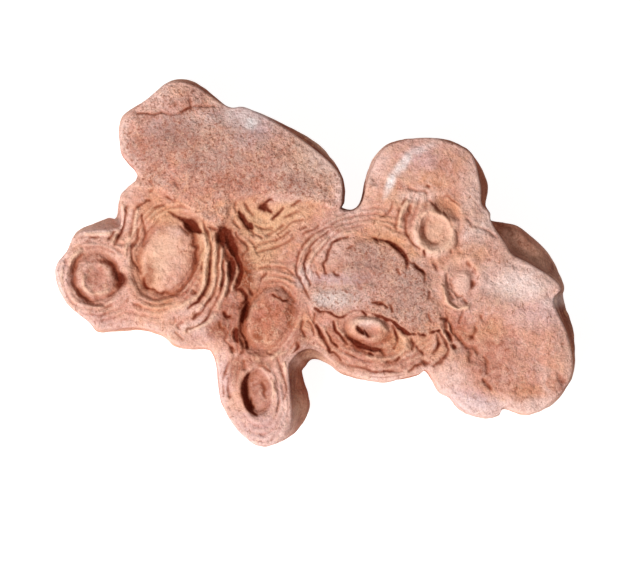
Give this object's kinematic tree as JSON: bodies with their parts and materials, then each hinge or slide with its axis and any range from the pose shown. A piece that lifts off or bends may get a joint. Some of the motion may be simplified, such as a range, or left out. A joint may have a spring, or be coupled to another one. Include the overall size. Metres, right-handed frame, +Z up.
{
  "type": "stromatolite",
  "caption": "Flat-based slab of layered pink stromatolite stone, with a lobed outline and ringed heads on its upper face.",
  "frame": {"origin": "centre of the bounding box in plan, on the cut base", "axes": "+X along the slab's longest side, +Z up from the cut base through the ringed face"},
  "size_m": [0.2076, 0.1462, 0.0428],
  "materials": {
    "stone": null
  },
  "bodies": {
    "root": {"stromatolite": "stone"}
  },
  "joints": []
}
